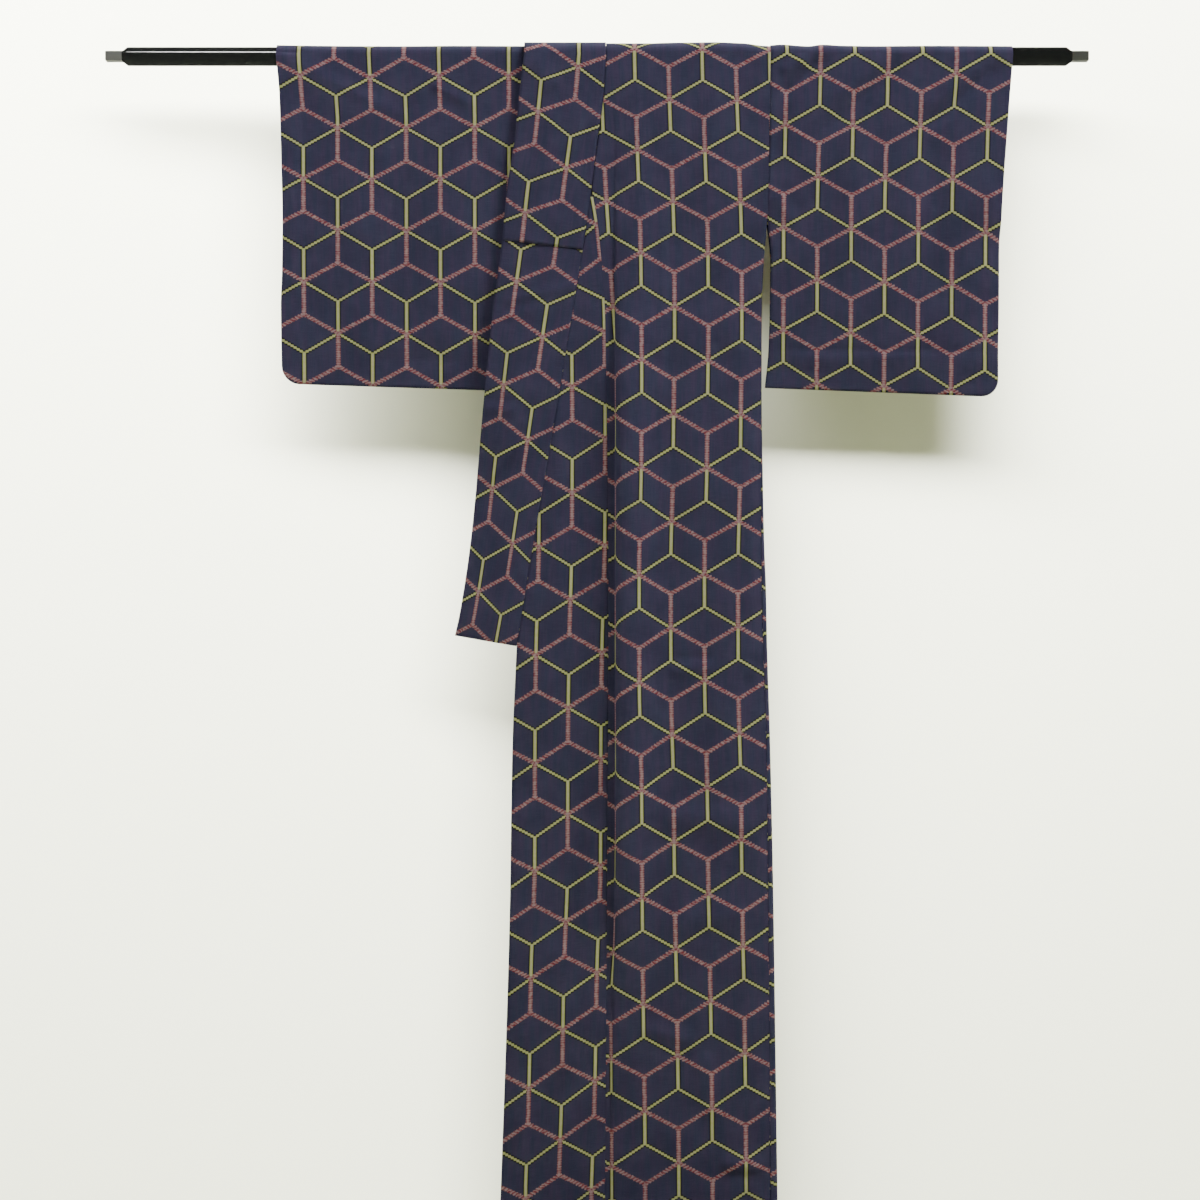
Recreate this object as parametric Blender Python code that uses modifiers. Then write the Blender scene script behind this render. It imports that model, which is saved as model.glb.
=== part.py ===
"""A woman's kimono hung on a lacquered rod, its body folded to about half its width.

Metres, +Z up. The origin is the middle of the rod's axis, the rod lies along X, and the front faces -Y.
Left and right are the wearer's, so the left front shows and the right one is folded behind it.

Cloth is laid out by drop, the distance below the rod's axis, and by level, the count of cloth layers
from the rod outwards. Tables are in centimetres, apart from depths, which are in millimetres.
"""

import math

import bmesh
import bpy
import numpy as np

CM = 0.01
MM = 0.001

# The rod
ROD_DIAMETER = 0.0266
ROD_LENGTH = 1.36
ROD_CHAMFER = 0.008
ROD_END_RADIUS = 0.0078
TENON_SIDE = 0.0137
TENON_LENGTH = 0.024
ROD_SIDES = 32

# The cloth
CLOTH = 0.001
SEAM_GAP = 0.0003
LEVEL_PITCH = 0.00135
ROD_CLEARANCE = 0.0005
LOWEST_RADIUS = ROD_DIAMETER / 2 + ROD_CLEARANCE + CLOTH / 2
OVER_ROD_STEPS = 10

# The garment, in centimetres
HEM_DROP = 166.5
TIP_DROP = 20.4
NECK_LINE_X = 1.3
NECK_CUT_TOP = 1.0
NECK_CUT_DROP = 3.6
CENTRE_BACK_TOP_X = -7.7
RIGHT_FOLD_X = 7.6
RIGHT_SHIFT = 1.0
RIGHT_SHIFT_DROP = 15
ARMHOLE_DROP = 23
UNDERARM_DROP = 33
WRAP_DROP = 45
SLEEVE_CORNER = 2.5
CUFF_CLOSES = 4
SIDE_TAPER = 5
SIDE_STRIP = 0.03
SIDE_SEAM_LAP = 0.06
CUFF_STRIP = 0.12
LEFT_LOWERS_FROM_X = 9
LEFT_LOWERS_OVER = 13
COLLAR_TURN_ABOVE_SEAM = 0.35

# Levels, counted from the rod
RIGHT_SHOULDER = 0
OVER_COLLAR_RIGHT = 1
RIGHT_FRONT = 2
LEFT_FRONT = 3
OVER_COLLAR_LEFT = 4


def table(columns, *rows):
    """Named columns, each an array, from rows in the order of the first column."""
    return dict(zip(columns.split(), np.array(rows, float).T))


COLLAR = table(
    "drop free seam bow",
    (0, -10.4, 1.3, 0),
    (6, -11.1, 0.9, 0),
    (12, -11.7, 0.1, 0),
    (19.2, -12.8, -0.8, 0.5),
    (27, -13.6, -1.9, 1.0),
    (38, -15.0, -3.7, 1.5),
    (53, -16.5, -6.2, 1.5),
    (68, -17.9, -8.8, 2.0),
    (79, -19.5, -10.6, 2.5),
    (84.5, -20.7, -11.5, 3.0),
)
COLLAR_END = {"free": 83.0, "seam": 84.5}
OVER_COLLAR_END = {"free": 26.6, "seam": 28.0}

OKUMI_SEAM = table(
    "drop x",
    (19.2, -0.8),
    (23, -0.1),
    (27, 0.4),
    (38, 1.15),
    (79, 1.6),
    (120, 1.4),
    (HEM_DROP, 1.1),
)
OKUMI_EDGE = table(
    "drop x",
    (84.5, -11.47),
    (100, -12.1),
    (120, -12.4),
    (135, -12.8),
    (150, -13.3),
    (HEM_DROP, -13.9),
)
CENTRE_BACK = table(
    "drop x",
    (NECK_CUT_DROP, CENTRE_BACK_TOP_X),
    (25, -6.6),
    (60, -5.4),
    (HEM_DROP, -5.3),
)
LEFT_SIDE = table(
    "drop front back",
    (0, 24.8, 24.8),
    (23, 24.35, 24.35),
    (33, 23.7, 24.2),
    (45, 23.5, 23.9),
    (76, 23.7, 24.1),
    (97, 24.2, 24.8),
    (121, 24.5, 25.2),
    (143, 24.7, 25.5),
    (HEM_DROP, 24.8, 25.8),
)
RIGHT_SIDE = table(
    "drop x",
    (0, -10.4),
    (23, -10.4),
    (33, -10.1),
    (45, -9.9),
    (HEM_DROP, -9.6),
)
SLEEVE_LEFT = table(
    "drop inner outer",
    (0, 24.83, 59.4),
    (12, 24.6, 58.5),
    (23, 24.38, 57.8),
    (29, 24.9, 57.6),
    (36, 24.8, 57.6),
    (42, 24.6, 57.5),
    (48, 24.0, 57.5),
)
SLEEVE_RIGHT = table(
    "drop inner outer",
    (0, -10.43, -45.8),
    (6, -10.43, -45.3),
    (17, -10.43, -45.0),
    (23, -10.43, -44.9),
    (31, -10.6, -45.0),
    (36, -10.6, -45.2),
    (48, -10.9, -45.1),
)
SLEEVE_BOTTOM = {"left": {"inner": 47.3, "outer": 48.6}, "right": {"inner": 47.8, "outer": 46.7}}

# Half of the depth between the front and back cloth, in millimetres
BODY_DEPTH = table(
    "drop depth",
    (0, 14.3),
    (12, 13.5),
    (23, 12.6),
    (45, 11.2),
    (100, 9.2),
    (HEM_DROP, 8.0),
)
SIDE_DEPTH = table(
    "drop open sewn",
    (0, 14.3, 14.3),
    (10, 12.8, 12.8),
    (20, 11.2, 11.2),
    (23, 10.6, 10.6),
    (28, 6.0, 6.0),
    (33, 2.4, 1.6),
    (45, 1.6, 0.8),
    (HEM_DROP, 1.6, 0.8),
)
SLEEVE_DEPTH = table(
    "share depth",
    (0, 14.3),
    (0.2, 12.8),
    (0.42, 11.2),
    (0.6, 9.0),
    (0.75, 6.4),
    (0.88, 3.4),
    (0.96, 1.4),
    (1, 0.65),
)

# Where the left shoulder's spare cloth rises over the rod, in millimetres
SHOULDER_SLACK = table("x rise", (8, 0), (13, 2.0), (18, 4.5), (21, 4.0), (23.5, 0.8), (24.8, 0))
# The long fold that stands up beside the left okumi's seam: x from the seam, and millimetres proud
SEAM_FOLD = table(
    "x share",
    (0.15, 0),
    (0.6, 0.74),
    (1.0, 0.93),
    (1.5, 1),
    (2.4, 0.86),
    (4.0, 0.42),
    (6.0, 0.1),
    (8.0, 0),
)
SEAM_FOLD_HEIGHT = table(
    "drop height",
    (0, 0),
    (12, 0.5),
    (22, 3),
    (34, 7),
    (45, 11),
    (60, 13),
    (95, 12),
    (120, 8),
    (140, 4),
    (HEM_DROP, 3),
)

# Pieces that meet at a seam share these rows, so that their edges run side by side
FRONT_DROPS = (0, 2, 6, 12, 19.2, 23, 27, 33, 38, 45, 53, 60, 68, 79, 84.5, 92, 100, 110, 120, 135, 150, HEM_DROP)
BACK_DROPS = (0, NECK_CUT_TOP, 3, 6, 12, 18, 23, 28, 33, 39, 45, 60, 84.5, 110, 138, HEM_DROP)
SLEEVE_SHARES = (0, 0.04, 0.12, 0.25, 0.37, 0.48, 0.57, 0.67, 0.77, 0.87, 0.95, 1)

# Columns across each piece, as shares of its width
NECK_COLUMNS = (0, 0.5)
LEFT_COLUMNS = (0, 0.007, 0.022, 0.045, 0.065, 0.1, 0.17, 0.34, 0.52, 0.68, 0.82, 0.92)
RIGHT_INNER_COLUMNS = (0, 0.5, 1)
RIGHT_OUTER_COLUMNS = (0, 0.2, 0.5, 0.8, 0.92, 1)
SLEEVE_COLUMNS = (0, 0.2, 0.45, 0.7, 0.85)
CORNER_COLUMNS = (0, 0.4, 0.75, 0.94, 1)
OKUMI_COLUMNS = (0, 0.33, 0.67, 1)
COLLAR_COLUMNS = (0, 0.25, 0.5, 0.75, 1)
RIGHT_FOLD_STEPS = 4
COLLAR_TURN_STEPS = 4
OVER_COLLAR_TURN_STEPS = 6

NAVY = (0.036, 0.034, 0.062)
LACQUER_BLACK = (0.012, 0.013, 0.013)


def at(columns, name, where, key="drop"):
    return float(np.interp(where, columns[key], columns[name]))


def blend(a, b, share):
    return a + (b - a) * share


def ease(share):
    share = min(max(share, 0.0), 1.0)
    return share * share * (3 - 2 * share)


def material(name, colour, roughness, metallic=0.0):
    made = bpy.data.materials.new(name)
    made.use_nodes = True
    shader = made.node_tree.nodes["Principled BSDF"]
    shader.inputs["Base Color"].default_value = (*colour, 1)
    shader.inputs["Roughness"].default_value = roughness
    shader.inputs["Metallic"].default_value = metallic
    return made


def add_object(name, mesh, finish):
    mesh.materials.append(finish)
    made = bpy.data.objects.new(name, mesh)
    bpy.data.collections["kimono"].objects.link(made)
    return made


def cloth(name, columns, rows, point, finish, cut=None):
    """A cloth wall: a grid of points, each point(column, row), without the faces that cut(i, j) names."""
    grid = bmesh.new()
    points = {}
    for j, row in enumerate(rows):
        for i, column in enumerate(columns):
            points[i, j] = grid.verts.new(point(column, row))
    for j in range(len(rows) - 1):
        for i in range(len(columns) - 1):
            if cut is None or not cut(i, j):
                grid.faces.new((points[i, j], points[i + 1, j], points[i + 1, j + 1], points[i, j + 1]))
    loose = [corner for corner in grid.verts if not corner.link_faces]
    bmesh.ops.delete(grid, geom=loose, context="VERTS")
    mesh = bpy.data.meshes.new(name)
    grid.to_mesh(mesh)
    grid.free()
    mesh.shade_smooth()
    made = add_object(name, mesh, finish)
    wall = made.modifiers.new("wall", "SOLIDIFY")
    wall.thickness = CLOTH
    wall.offset = 0
    wall.use_even_offset = True
    return made


def hanging(side, drop, depth, x):
    """A point on the front (side -1) or back (side 1), depth in metres from the middle, x and drop in cm."""
    return (x * CM, side * depth, -drop * CM)


def over_rod(angle, radius, x):
    """A point over the rod: angle 0 is level with its axis at the front, and pi at the back."""
    return (x * CM, -radius * math.cos(angle), radius * math.sin(angle))


def path(front_drops, back_drops):
    """Rows of a cloth that goes up the front, over the rod and down the back, as (part, value)."""
    arc = [math.pi * k / OVER_ROD_STEPS for k in range(1, OVER_ROD_STEPS)]
    up = [("front", drop) for drop in reversed(front_drops)]
    return up + [("rod", angle) for angle in arc] + [("back", drop) for drop in back_drops]


def body_depth(drop, level):
    return at(BODY_DEPTH, "depth", drop) * MM + level * LEVEL_PITCH


def right_shift(drop):
    """How far the right front stands back from the left one's edge."""
    return RIGHT_SHIFT * min(drop / RIGHT_SHIFT_DROP, 1)


def not_shifted(_drop):
    return 0.0


def front_edge(drop):
    """Where the left front's cloth begins: at the collar's seam, and below the tip at the okumi's."""
    collar_seam = at(COLLAR, "seam", drop)
    return collar_seam if drop < OKUMI_SEAM["drop"][0] else at(OKUMI_SEAM, "x", drop)


def neck_drop(x):
    """The neck cut's drop on the back, from the neck line to the centre back."""
    share = (NECK_LINE_X - x) / (NECK_LINE_X - CENTRE_BACK_TOP_X)
    return blend(NECK_CUT_TOP, NECK_CUT_DROP, min(share, 1.0))


def back_of_neck(share, drop):
    """(x, drop) on the back between the centre back, share 0, and the neck line, share 1."""
    x_top = blend(CENTRE_BACK_TOP_X, NECK_LINE_X, share)
    top = neck_drop(x_top)
    lowered = top + (drop - NECK_CUT_TOP) / (HEM_DROP - NECK_CUT_TOP) * (HEM_DROP - top)
    return blend(at(CENTRE_BACK, "x", lowered), NECK_LINE_X, share), lowered


def make_body_left(finish):
    """Front and back in one cloth. Columns of kind neck are only on the back, from the centre to the neck."""
    columns = [("neck", share) for share in NECK_COLUMNS]
    columns += [("main", share) for share in LEFT_COLUMNS]
    columns += [("side", 0), ("side", 1)]
    rows = path(FRONT_DROPS, BACK_DROPS)

    def level_at(x):
        return blend(LEFT_FRONT, RIGHT_SHOULDER, ease((x - LEFT_LOWERS_FROM_X) / LEFT_LOWERS_OVER))

    def point(column, row):
        kind, share = column
        across = share if kind == "main" else 1 - SIDE_STRIP + SIDE_STRIP * share
        part, value = row
        drop = value if part != "rod" else 0.0
        front_x = at(LEFT_SIDE, "front", drop)
        back_x = at(LEFT_SIDE, "back", drop)
        if kind == "neck":
            x, lowered = back_of_neck(share, max(drop, NECK_CUT_TOP))
            return hanging(1, lowered, body_depth(lowered, LEFT_FRONT), x)
        if part == "rod":
            x = blend(NECK_LINE_X, front_x, across)
            rise = at(SHOULDER_SLACK, "rise", x, "x") * MM * math.sin(value)
            radius = LOWEST_RADIUS + level_at(x) * LEVEL_PITCH + rise
            return over_rod(value, radius, x)
        begins = front_edge(drop) + SEAM_GAP / CM if part == "front" else NECK_LINE_X
        ends = front_x if part == "front" else back_x
        x = blend(begins, ends, across)
        taper = ease(1 - (ends - x) / SIDE_TAPER)
        edge = at(SIDE_DEPTH, "open" if part == "front" else "sewn", drop) * MM
        depth = blend(body_depth(drop, level_at(x)), edge, taper)
        if part == "front":
            proud = at(SEAM_FOLD, "share", x - begins, "x") * at(SEAM_FOLD_HEIGHT, "height", drop)
            return hanging(-1, drop, depth + proud * MM, x)
        if kind == "side":
            wrap = ease((drop - UNDERARM_DROP) / (WRAP_DROP - UNDERARM_DROP))
            turned = (back_x, 0.0) if share == 0 else (front_x + SIDE_SEAM_LAP, -SIDE_DEPTH["open"][-1] * MM)
            x = blend(x, turned[0], wrap)
            depth = blend(depth, turned[1], wrap)
        return hanging(1, drop, depth, x)

    return cloth("body_left", columns, rows, point, finish, cut_neck(columns, rows))


def cut_neck(columns, rows):
    """Leaves out the faces of the neck columns above the neck cut."""
    kept_from = rows.index(("back", NECK_CUT_TOP))
    necks = sum(1 for kind, _ in columns if kind == "neck")
    return lambda i, j: i < necks and j < kept_from


def make_body_right(finish):
    """Folded behind the left one: from the neck to a fold at RIGHT_FOLD_X, and back to the right side."""
    columns = [("neck", share) for share in NECK_COLUMNS]
    columns += [("inner", share) for share in RIGHT_INNER_COLUMNS]
    columns += [("turn", math.pi * step / RIGHT_FOLD_STEPS) for step in range(1, RIGHT_FOLD_STEPS)]
    columns += [("outer", share) for share in RIGHT_OUTER_COLUMNS]
    rows = path(FRONT_DROPS, BACK_DROPS)
    middle = (RIGHT_FRONT + RIGHT_SHOULDER) / 2
    turn_radius = (RIGHT_FRONT - middle) * LEVEL_PITCH

    def point(column, row):
        kind, share = column
        part, value = row
        drop = value if part != "rod" else 0.0
        if kind == "neck":
            x, lowered = back_of_neck(share, max(drop, NECK_CUT_TOP))
            return hanging(1, lowered, body_depth(lowered, RIGHT_FRONT), x)
        if kind == "turn":
            x = RIGHT_FOLD_X + turn_radius * math.sin(share) / CM
            level = middle + (RIGHT_FRONT - middle) * math.cos(share)
        elif kind == "inner":
            begins = front_edge(drop) + right_shift(drop) + SEAM_GAP / CM if part == "front" else NECK_LINE_X
            x = blend(begins, RIGHT_FOLD_X, share)
            level = RIGHT_FRONT
        else:
            x = blend(RIGHT_FOLD_X, at(RIGHT_SIDE, "x", drop), share)
            level = RIGHT_SHOULDER
        if part == "rod":
            return over_rod(value, LOWEST_RADIUS + level * LEVEL_PITCH, x)
        depth = body_depth(drop, level)
        if kind == "outer":
            taper = ease(1 - (x - at(RIGHT_SIDE, "x", drop)) / SIDE_TAPER)
            depth = blend(depth, at(SIDE_DEPTH, "sewn", drop) * MM, taper)
        return hanging(1 if part == "back" else -1, drop, depth, x)

    return cloth("body_right", columns, rows, point, finish, cut_neck(columns, rows))


def make_sleeve(name, outline, bottom, finish):
    """One cloth over the rod, sewn along the bottom and up to the cuff, with a round lower corner."""
    width = abs(outline["outer"][0] - outline["inner"][0])
    corner_from = 1 - SLEEVE_CORNER / width
    columns = list(SLEEVE_COLUMNS)
    columns += [blend(corner_from, 1, share) for share in CORNER_COLUMNS]
    rows = path(SLEEVE_SHARES, SLEEVE_SHARES)

    def bottom_at(across):
        into = max(across - corner_from, 0) / (1 - corner_from)
        rise = SLEEVE_CORNER * (1 - math.sqrt(1 - into * into))
        return blend(bottom["inner"], bottom["outer"], across) - rise

    def point(across, row):
        part, value = row
        drop = value * bottom_at(across) if part != "rod" else 0.0
        x = blend(at(outline, "inner", drop), at(outline, "outer", drop), across)
        if part == "rod":
            return over_rod(value, LOWEST_RADIUS, x)
        sewn = SLEEVE_DEPTH["depth"][-1]
        depth = at(SLEEVE_DEPTH, "depth", value, "share")
        by_cuff = ease(1 - (1 - across) / CUFF_STRIP)
        closed = by_cuff * ease((drop - ARMHOLE_DROP) / CUFF_CLOSES)
        depth = blend(depth, sewn, closed) * MM
        return hanging(1 if part == "back" else -1, drop, depth, x)

    return cloth(name, columns, rows, point, finish)


def make_okumi(name, level, shift, finish):
    """From its tip at the collar's seam to the hem, between the free edge and the body's seam."""
    drops = [TIP_DROP] + [drop for drop in FRONT_DROPS if drop > TIP_DROP]

    def point(across, drop):
        if drop < COLLAR_END["seam"]:
            left = at(COLLAR, "seam", drop) + SEAM_GAP / CM
        else:
            left = at(OKUMI_EDGE, "x", drop)
        x = blend(left, at(OKUMI_SEAM, "x", drop), across) + shift(drop)
        return hanging(-1, drop, body_depth(drop, level), x)

    return cloth(name, OKUMI_COLUMNS, drops, point, finish)


def make_collar_strip(name, ends, outer_level, inner_level, turn_steps, finish):
    """One strip up the left front, over the rod, round behind the neck, and down the right front behind it."""
    shares = [drop / ends["seam"] for drop in FRONT_DROPS if drop < ends["seam"]] + [1]
    arc = [math.pi * k / OVER_ROD_STEPS for k in range(1, OVER_ROD_STEPS)]
    turn = [math.pi * k / turn_steps for k in range(turn_steps + 1)]
    rows = [("front", outer_level, share) for share in reversed(shares)]
    rows += [("rod", outer_level, angle) for angle in arc]
    rows += [("back", outer_level, 0), ("back", outer_level, 0.5)]
    rows += [("turn", 0, angle) for angle in turn]
    rows += [("back", inner_level, 0.5), ("back", inner_level, 0)]
    rows += [("rod", inner_level, angle) for angle in reversed(arc)]
    rows += [("front", inner_level, share) for share in shares]
    middle = (outer_level + inner_level) / 2
    reach = (outer_level - middle) * LEVEL_PITCH

    def point(across, row):
        part, level, value = row
        x_top = blend(NECK_LINE_X - SEAM_GAP / CM, at(COLLAR, "free", 0), across)
        turn_drop = neck_drop(x_top) - COLLAR_TURN_ABOVE_SEAM
        if part == "front":
            drop = value * blend(ends["seam"], ends["free"], across)
            x = blend(at(COLLAR, "seam", drop), at(COLLAR, "free", drop), across)
            if level == inner_level:
                x += right_shift(drop)
            proud = at(COLLAR, "bow", drop) * math.sin(math.pi * across) if level == outer_level else 0.0
            return hanging(-1, drop, body_depth(drop, level) + proud * MM, x)
        if part == "rod":
            return over_rod(value, LOWEST_RADIUS + level * LEVEL_PITCH, x_top)
        if part == "back":
            return hanging(1, value * turn_drop, body_depth(turn_drop, level), x_top)
        depth = body_depth(turn_drop, middle) + reach * math.cos(value)
        return hanging(1, turn_drop + reach * math.sin(value) / CM, depth, x_top)

    return cloth(name, COLLAR_COLUMNS, rows, point, finish)


def make_rod(finish):
    """A turned bar with chamfered ends, and one square bar through it that makes both tenons."""
    half = ROD_LENGTH / 2
    outline = bmesh.new()
    profile = ((-half, 0), (-half, ROD_END_RADIUS), (-half + ROD_CHAMFER, ROD_DIAMETER / 2))
    profile += tuple((-x, radius) for x, radius in reversed(profile))
    corners = [outline.verts.new((x, 0, radius)) for x, radius in profile]
    for first, second in zip(corners, corners[1:]):
        outline.edges.new((first, second))
    mesh = bpy.data.meshes.new("rod")
    outline.to_mesh(mesh)
    outline.free()
    rod = add_object("rod", mesh, finish)
    turned = rod.modifiers.new("turned", "SCREW")
    turned.axis = "X"
    turned.steps = ROD_SIDES
    turned.render_steps = ROD_SIDES
    turned.use_merge_vertices = True
    turned.merge_threshold = 0.00001
    turned.use_normal_flip = True

    square = bmesh.new()
    bmesh.ops.create_cube(square, size=1)
    bmesh.ops.scale(square, vec=(ROD_LENGTH + 2 * TENON_LENGTH, TENON_SIDE, TENON_SIDE), verts=square.verts)
    mesh = bpy.data.meshes.new("tenon_bar")
    square.to_mesh(mesh)
    square.free()
    bar = bpy.data.objects.new("tenon_bar", mesh)
    bpy.data.collections["guides"].objects.link(bar)
    bar.hide_render = True
    bar.display_type = "WIRE"
    joined = rod.modifiers.new("tenons", "BOOLEAN")
    joined.operation = "UNION"
    joined.object = bar
    return rod


for leftover in list(bpy.data.objects):
    bpy.data.objects.remove(leftover)
for group in ("kimono", "guides"):
    bpy.context.scene.collection.children.link(bpy.data.collections.new(group))

navy_wool = material("navy_wool", NAVY, 0.9)
black_lacquer = material("black_lacquer", LACQUER_BLACK, 0.25)

make_rod(black_lacquer)
make_body_left(navy_wool)
make_body_right(navy_wool)
make_sleeve("sleeve_left", SLEEVE_LEFT, SLEEVE_BOTTOM["left"], navy_wool)
make_sleeve("sleeve_right", SLEEVE_RIGHT, SLEEVE_BOTTOM["right"], navy_wool)
make_okumi("okumi_left", LEFT_FRONT, not_shifted, navy_wool)
make_okumi("okumi_right", RIGHT_FRONT, right_shift, navy_wool)
make_collar_strip("collar", COLLAR_END, LEFT_FRONT, RIGHT_FRONT, COLLAR_TURN_STEPS, navy_wool)
make_collar_strip(
    "over_collar", OVER_COLLAR_END, OVER_COLLAR_LEFT, OVER_COLLAR_RIGHT, OVER_COLLAR_TURN_STEPS, navy_wool
)
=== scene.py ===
import math

import bmesh
import bpy
import numpy as np
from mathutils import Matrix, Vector


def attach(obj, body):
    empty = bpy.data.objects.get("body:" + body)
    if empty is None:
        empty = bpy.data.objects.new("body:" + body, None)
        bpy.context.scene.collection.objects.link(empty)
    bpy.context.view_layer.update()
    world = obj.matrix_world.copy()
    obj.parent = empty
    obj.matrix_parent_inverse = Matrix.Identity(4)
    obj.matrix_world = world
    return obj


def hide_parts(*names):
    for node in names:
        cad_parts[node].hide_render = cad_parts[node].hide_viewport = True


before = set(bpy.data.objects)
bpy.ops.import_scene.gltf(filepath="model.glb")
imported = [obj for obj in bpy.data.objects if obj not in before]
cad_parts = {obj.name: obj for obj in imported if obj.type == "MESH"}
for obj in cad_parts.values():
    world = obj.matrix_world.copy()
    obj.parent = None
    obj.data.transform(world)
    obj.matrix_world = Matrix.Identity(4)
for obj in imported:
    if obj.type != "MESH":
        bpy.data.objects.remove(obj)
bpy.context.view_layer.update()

# The rod.
# Turned hardwood under gloss black lacquer, with chamfered ends and a square tenon at each end.
# It is one piece, and the whole garment hangs on it.

ROD_RADIUS = 0.0133
ROD_SIDES = 96
ROD_END = 0.68
TENON_SIDE = 0.0137
TENON_LET_IN = 0.02
TENON_END = 0.704
TENON_BEVEL = 0.0006
ROD_CHAMFER = (
    (0.6720, ROD_RADIUS),
    (0.6726, 0.01315),
    (0.6795, 0.0082),
    (ROD_END, 0.0077),
    (ROD_END, 0.0),
)


def add_object(name, mesh, *materials):
    made = bpy.data.objects.new(name, mesh)
    bpy.context.scene.collection.objects.link(made)
    for finish in materials:
        mesh.materials.append(finish)
    return made


class Value:
    """One number of a shader, so that shader maths is written like other maths."""

    def __init__(self, tree, socket):
        self.tree = tree
        self.socket = socket

    def calc(self, operation, *others):
        node = self.tree.nodes.new("ShaderNodeMath")
        node.operation = operation
        for place, value in enumerate((self, *others)):
            if isinstance(value, Value):
                self.tree.links.new(value.socket, node.inputs[place])
            else:
                node.inputs[place].default_value = value
        return Value(self.tree, node.outputs[0])

    def __add__(self, other):
        return self.calc("ADD", other)

    def __sub__(self, other):
        return self.calc("SUBTRACT", other)

    def __mul__(self, other):
        return self.calc("MULTIPLY", other)

    def falls(self, start, end):
        """1 below start, 0 above end."""
        node = self.tree.nodes.new("ShaderNodeMapRange")
        node.interpolation_type = "SMOOTHSTEP"
        self.tree.links.new(self.socket, node.inputs["Value"])
        node.inputs["From Min"].default_value = start
        node.inputs["From Max"].default_value = end
        node.inputs["To Min"].default_value = 1.0
        node.inputs["To Max"].default_value = 0.0
        return Value(self.tree, node.outputs["Result"])

    def __abs__(self):
        return self.calc("ABSOLUTE")


def mix_colour(tree, share, first, second):
    """Mixes two colours, each a tuple or a socket."""
    node = tree.nodes.new("ShaderNodeMix")
    node.data_type = "RGBA"
    for place, value in ((0, share), (6, first), (7, second)):
        if isinstance(value, Value):
            tree.links.new(value.socket, node.inputs[place])
        elif isinstance(value, (tuple, float)):
            node.inputs[place].default_value = (*value, 1) if isinstance(value, tuple) else value
        else:
            tree.links.new(value, node.inputs[place])
    return node.outputs[2]


def noise(tree, vector, scale, detail=2.0, roughness=0.5):
    node = tree.nodes.new("ShaderNodeTexNoise")
    tree.links.new(vector, node.inputs["Vector"])
    node.inputs["Scale"].default_value = scale
    node.inputs["Detail"].default_value = detail
    node.inputs["Roughness"].default_value = roughness
    return Value(tree, node.outputs["Fac"])


def bump(tree, height, distance, strength):
    node = tree.nodes.new("ShaderNodeBump")
    node.inputs["Distance"].default_value = distance
    node.inputs["Strength"].default_value = strength
    tree.links.new(height.socket, node.inputs["Height"])
    return node.outputs["Normal"]


def new_material(name):
    """A material with an empty tree but for its shader and output: (material, tree, shader)."""
    made = bpy.data.materials.new(name)
    made.use_nodes = True
    return made, made.node_tree, made.node_tree.nodes["Principled BSDF"]


lacquer, tree, shader = new_material("black_lacquer")
where = tree.nodes.new("ShaderNodeTexCoord").outputs["Object"]
parts = tree.nodes.new("ShaderNodeSeparateXYZ")
tree.links.new(where, parts.inputs[0])
bare = abs(Value(tree, parts.outputs[0])).calc("GREATER_THAN", ROD_END + 0.0001)
mottle = noise(tree, where, 9.0, 3.0)
fine = noise(tree, where, 160.0, 2.0)
black = mix_colour(tree, mottle, (0.009, 0.011, 0.011), (0.014, 0.016, 0.016))
tree.links.new(mix_colour(tree, bare, black, (0.14, 0.142, 0.14)), shader.inputs["Base Color"])
tree.links.new((mottle * 0.06 + bare * 0.3 + 0.13).socket, shader.inputs["Roughness"])
tree.links.new(bump(tree, fine * 0.4 + mottle, 0.0003, 0.1), shader.inputs["Normal"])
shader.inputs["Coat Weight"].default_value = 0.5
shader.inputs["Coat Roughness"].default_value = 0.1


def make_rod():
    """The turned bar as rings along X, with the two tenons as bevelled blocks let into its ends."""
    profile = [(-x, radius) for x, radius in reversed(ROD_CHAMFER)] + list(ROD_CHAMFER)
    shape = bmesh.new()
    rings = []
    for x, radius in profile:
        angles = np.linspace(0, 2 * math.pi, ROD_SIDES, endpoint=False)
        rings.append([shape.verts.new((x, radius * math.cos(a), radius * math.sin(a))) for a in angles])
    for first, second in zip(rings, rings[1:]):
        for k in range(ROD_SIDES):
            after = (k + 1) % ROD_SIDES
            shape.faces.new((first[k], first[after], second[after], second[k]))
    bmesh.ops.remove_doubles(shape, verts=shape.verts, dist=0.00001)
    for face in shape.faces:
        face.smooth = True
    for side in (-1, 1):
        block = bmesh.ops.create_cube(shape, size=1)["verts"]
        length = TENON_END - ROD_END + TENON_LET_IN
        bmesh.ops.scale(shape, vec=(length, TENON_SIDE, TENON_SIDE), verts=block)
        bmesh.ops.translate(shape, vec=(side * (TENON_END - length / 2), 0, 0), verts=block)
        edges = list({edge for corner in block for edge in corner.link_edges})
        bmesh.ops.bevel(shape, geom=edges, offset=TENON_BEVEL, segments=2, affect="EDGES")
    bmesh.ops.recalc_face_normals(shape, faces=shape.faces)
    mesh = bpy.data.meshes.new("lacquered_rod")
    shape.to_mesh(mesh)
    shape.free()
    mesh.set_sharp_from_angle(angle=math.radians(28))
    return add_object("lacquered_rod", mesh, lacquer)


rod = make_rod()
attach(rod, "root")
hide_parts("rod")

# The wearer's right body length, folded behind the left one.
# Plain-woven wool in navy, with a tumbling-block lattice woven in pink and yellow-green.
# It goes over the rod, and it is sewn to the left length down the centre back.

MM = 0.001
CM = 0.01

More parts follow.
